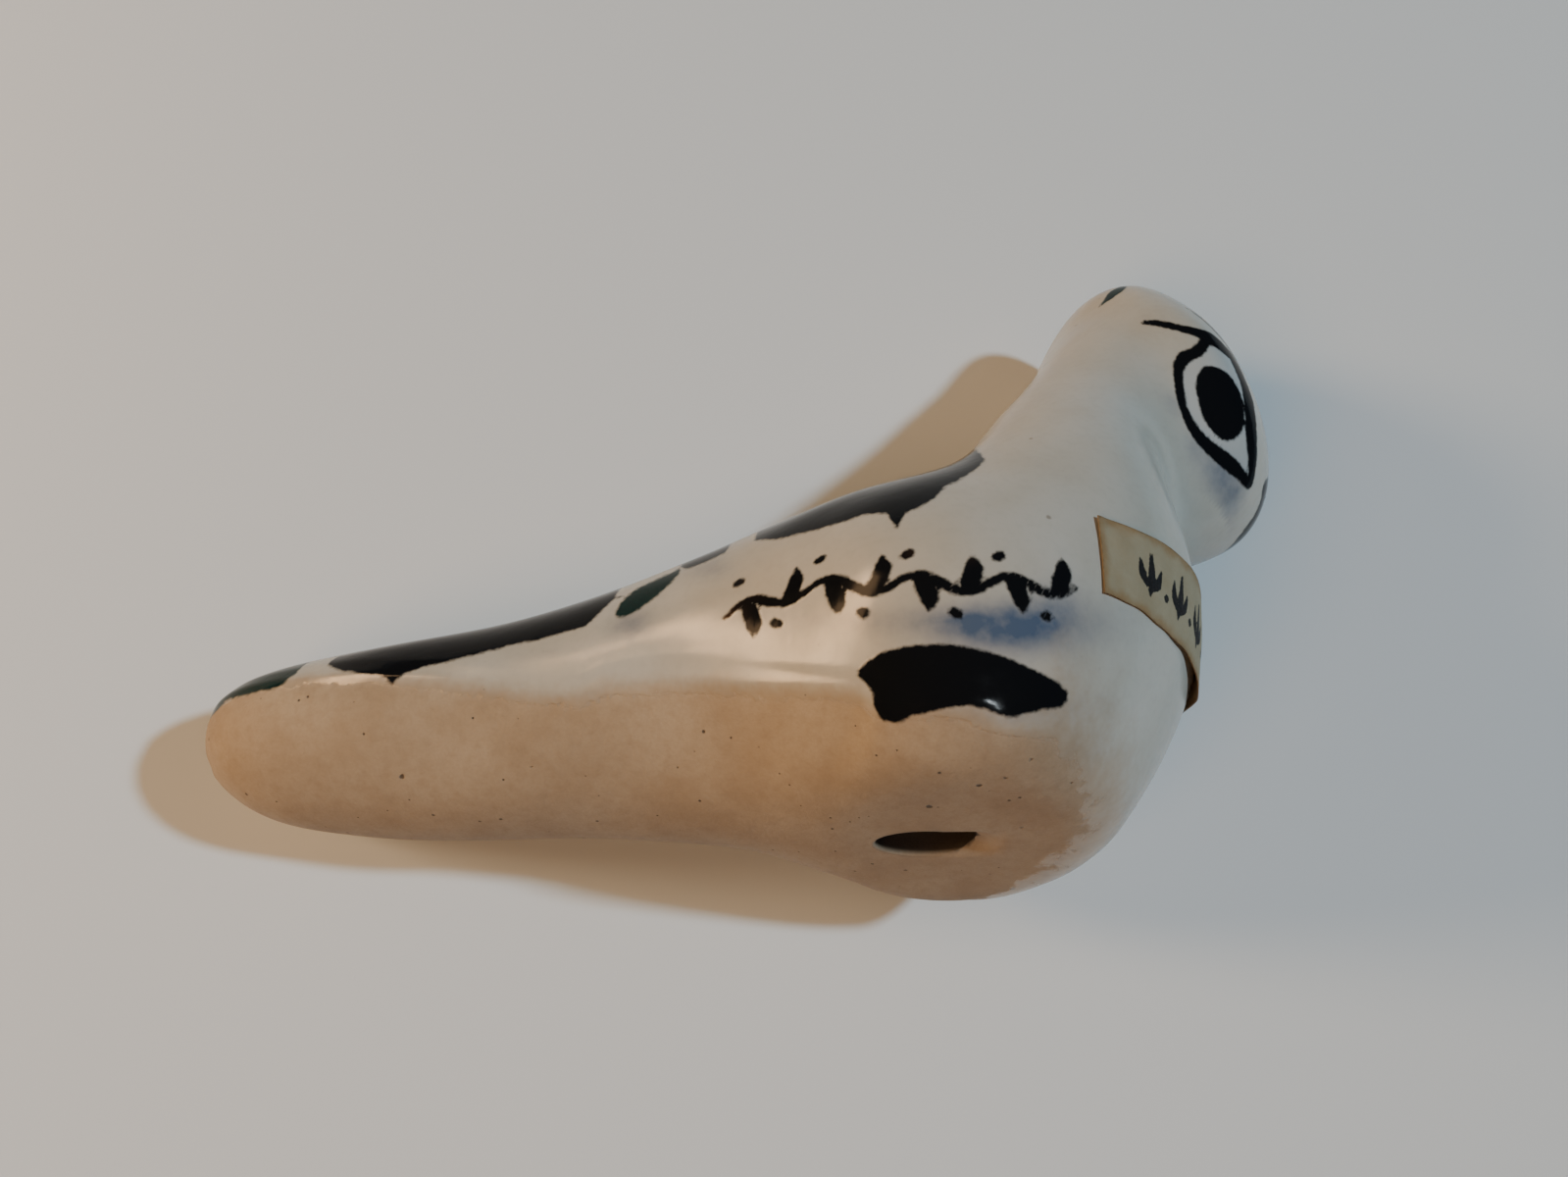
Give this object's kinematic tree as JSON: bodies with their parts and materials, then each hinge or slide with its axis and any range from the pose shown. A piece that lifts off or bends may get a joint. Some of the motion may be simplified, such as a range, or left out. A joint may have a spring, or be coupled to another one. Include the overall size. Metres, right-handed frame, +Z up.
{
  "type": "ocarina",
  "caption": "Hollow stoneware bird ocarina, blown through a slit at the end of its tail and sounded by an oval window in its flat base.",
  "frame": {"origin": "under the middle of the whole bird, in the plane of its flat base", "axes": "+X from the tail towards the breast, +Y to the bird's left, +Z up"},
  "size_m": [0.1198, 0.0478, 0.0747],
  "materials": {
    "glazed_stoneware": "grey-white gloss glaze with brushed black, green and cobalt; underside bare tan clay",
    "bare_clay": "matte fired clay",
    "dark_glaze": "glossy brushed dark slip",
    "old_paper": "yellowed matte paper"
  },
  "bodies": {
    "root": {"tail_mouthpiece": "glazed_stoneware", "lower_body_shell": "glazed_stoneware", "upper_body_shell": "glazed_stoneware", "head_shell": "glazed_stoneware", "beak": "dark_glaze", "windway_block": "bare_clay", "paper_label": "old_paper"}
  },
  "joints": []
}
